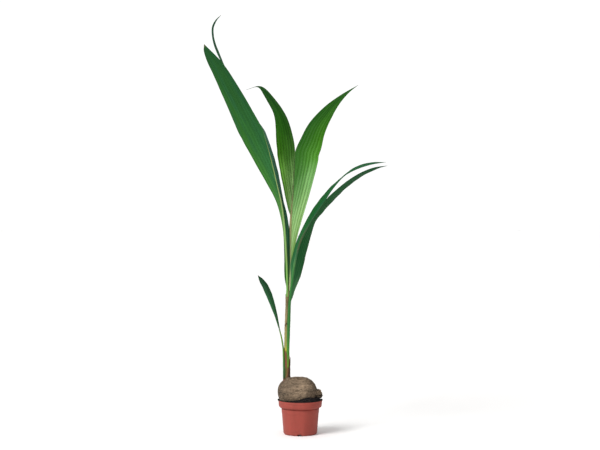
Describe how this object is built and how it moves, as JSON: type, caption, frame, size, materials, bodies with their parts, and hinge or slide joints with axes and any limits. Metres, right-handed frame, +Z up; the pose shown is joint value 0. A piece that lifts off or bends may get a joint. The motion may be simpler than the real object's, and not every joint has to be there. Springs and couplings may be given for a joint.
{
  "type": "potted young coconut palm",
  "caption": "Young coconut palm sprouting from its husked nut in a round terracotta-coloured plastic pot, with long cleft pleated leaves on a slim stem of sheaths.",
  "frame": {"origin": "centre of the pot's flat underside, on the level that the pot's ring foot stands on", "axes": "+Z up along the pot's axis, -Y towards the viewer, +X to the viewer's right"},
  "size_m": [0.7772, 0.4713, 1.831],
  "materials": {
    "pot_plastic": "satin",
    "potting_soil": "matte",
    "coconut_husk": "matte",
    "husk_fibre": "matte",
    "leaf_sheath": "matte",
    "scale_leaf": "matte",
    "leaf_stalk": "satin",
    "leaf_blade_dark": "satin",
    "leaf_blade_green": "satin",
    "leaf_blade_bright": "satin"
  },
  "bodies": {
    "root": {"pot": "pot_plastic", "potting_soil": "potting_soil", "coconut_husk": "coconut_husk", "husk_tuft": "husk_fibre", "stem": "leaf_sheath", "base_scale_leaf": "scale_leaf", "small_leaf_stalk": "leaf_stalk", "small_leaf_blade": "leaf_blade_dark", "right_leaf_stalk": "leaf_stalk", "right_leaf_upper_half": "leaf_blade_dark", "right_leaf_lower_half": "leaf_blade_dark", "left_leaf_stalk": "leaf_stalk", "left_leaf_front_half": "leaf_blade_green", "left_leaf_back_half": "leaf_blade_green", "centre_leaf_stalk": "leaf_stalk", "centre_leaf_left_half": "leaf_blade_bright", "centre_leaf_right_half": "leaf_blade_bright"}
  },
  "joints": []
}
